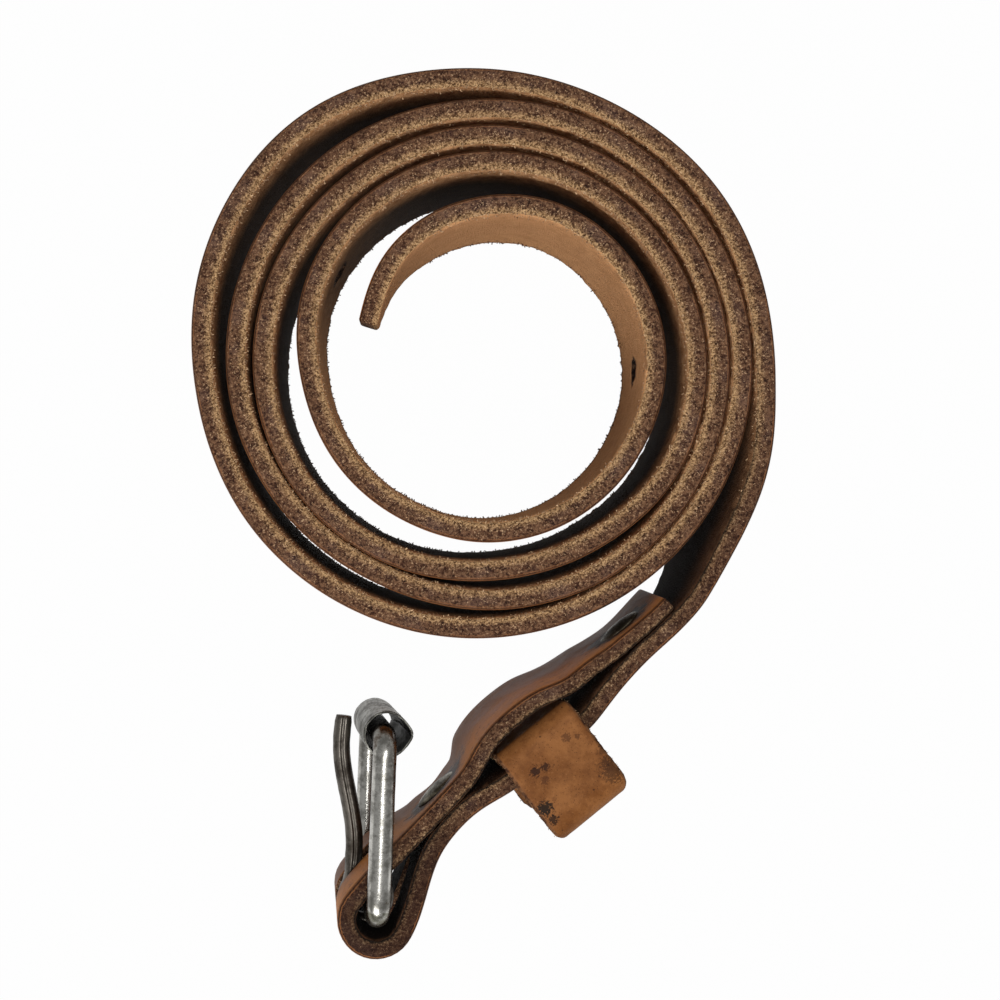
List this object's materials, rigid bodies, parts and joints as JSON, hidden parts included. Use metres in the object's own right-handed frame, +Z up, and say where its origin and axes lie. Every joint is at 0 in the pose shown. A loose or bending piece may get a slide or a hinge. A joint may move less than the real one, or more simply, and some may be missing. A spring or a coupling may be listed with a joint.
{
  "type": "training leash",
  "caption": "Flat leather training strap rolled up on its edge, with a riveted roller buckle and a leather keeper loop at its outer end.",
  "frame": {"origin": "middle of the footprint of the rolled strap and its buckle end, on the surface the roll stands on", "axes": "+Z up across the strap's width; +Y from the buckle toward the roll, the longest way; +X to the right, where the strap leaves the roll"},
  "size_m": [0.0978, 0.1465, 0.0405],
  "materials": {
    "strap_leather": "oiled, with a napped flesh side",
    "keeper_leather": "worn smooth",
    "nickel_steel": "worn nickel plate",
    "rivet_steel": "tarnished nickel plate",
    "staple_steel": "dull wire"
  },
  "bodies": {
    "strap_body": {"strap": "strap_leather", "front_rivet_post": "rivet_steel", "front_rivet_cap": "rivet_steel", "rear_rivet_post": "rivet_steel", "rear_rivet_cap": "rivet_steel"},
    "frame_body": {"buckle_frame": "nickel_steel"},
    "tongue_body": {"buckle_tongue": "nickel_steel"},
    "roller_body": {"buckle_roller": "nickel_steel"},
    "keeper_body": {"keeper": "keeper_leather", "keeper_staple": "staple_steel"}
  },
  "joints": [
    {"name": "buckle_swing", "type": "hinge", "parent": "strap_body", "child": "frame_body", "pos_m": [-0.01891, -0.06535, 0.02366], "axis": [0.1143, 0.0837, 0.9899], "range_deg": [-16, 150]},
    {"name": "tongue_swing", "type": "hinge", "parent": "frame_body", "child": "tongue_body", "pos_m": [-0.01891, -0.06535, 0.02366], "axis": [0.1143, 0.0837, 0.9899], "range_deg": [0, 80]},
    {"name": "roller_spin", "type": "hinge", "parent": "frame_body", "child": "roller_body", "pos_m": [-0.01736, -0.03751, 0.02112], "axis": [0.1143, 0.0837, 0.9899], "continuous": true},
    {"name": "keeper_slide", "type": "slide", "parent": "strap_body", "child": "keeper_body", "axis": [0.7913, 0.6009, -0.1128], "range_m": [-0.0007, 0.0007]}
  ]
}
